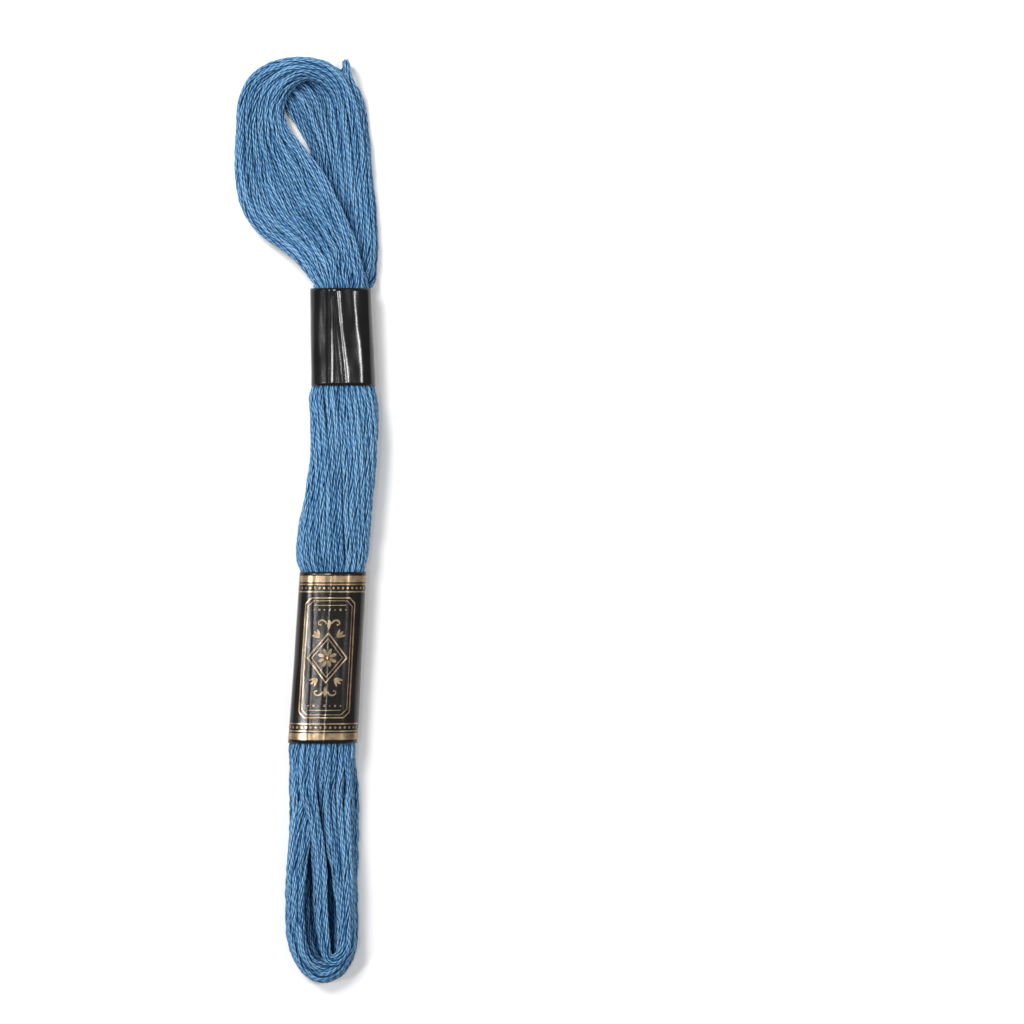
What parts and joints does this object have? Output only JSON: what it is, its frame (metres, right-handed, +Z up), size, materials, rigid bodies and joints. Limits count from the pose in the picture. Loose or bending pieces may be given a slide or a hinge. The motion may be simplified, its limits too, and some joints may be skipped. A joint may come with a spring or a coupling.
{
  "type": "skein of embroidery floss",
  "caption": "Pull skein of stranded cotton embroidery thread held by two paper bands, with a wide open loop at one end and a narrow loop at the other.",
  "frame": {"origin": "on the surface that the skein rests on, below the middle of its bounding box", "axes": "+Y along the skein from its narrow loop to its wide loop, +Z up off the surface, +X across it to the side away from the wide loop's lean"},
  "size_m": [0.0261, 0.1651, 0.007],
  "materials": {
    "cotton_floss": "mercerised six-strand cotton, mid blue with a soft silky sheen",
    "plain_band_paper": "glossy black coated paper, slightly rumpled lengthways",
    "printed_band_paper": "glossy black-brown coated paper with dull gold printed rules, dots and ornament"
  },
  "bodies": {
    "root": {"floss_hank": "cotton_floss", "upper_band": "plain_band_paper", "lower_band": "printed_band_paper"}
  },
  "joints": []
}
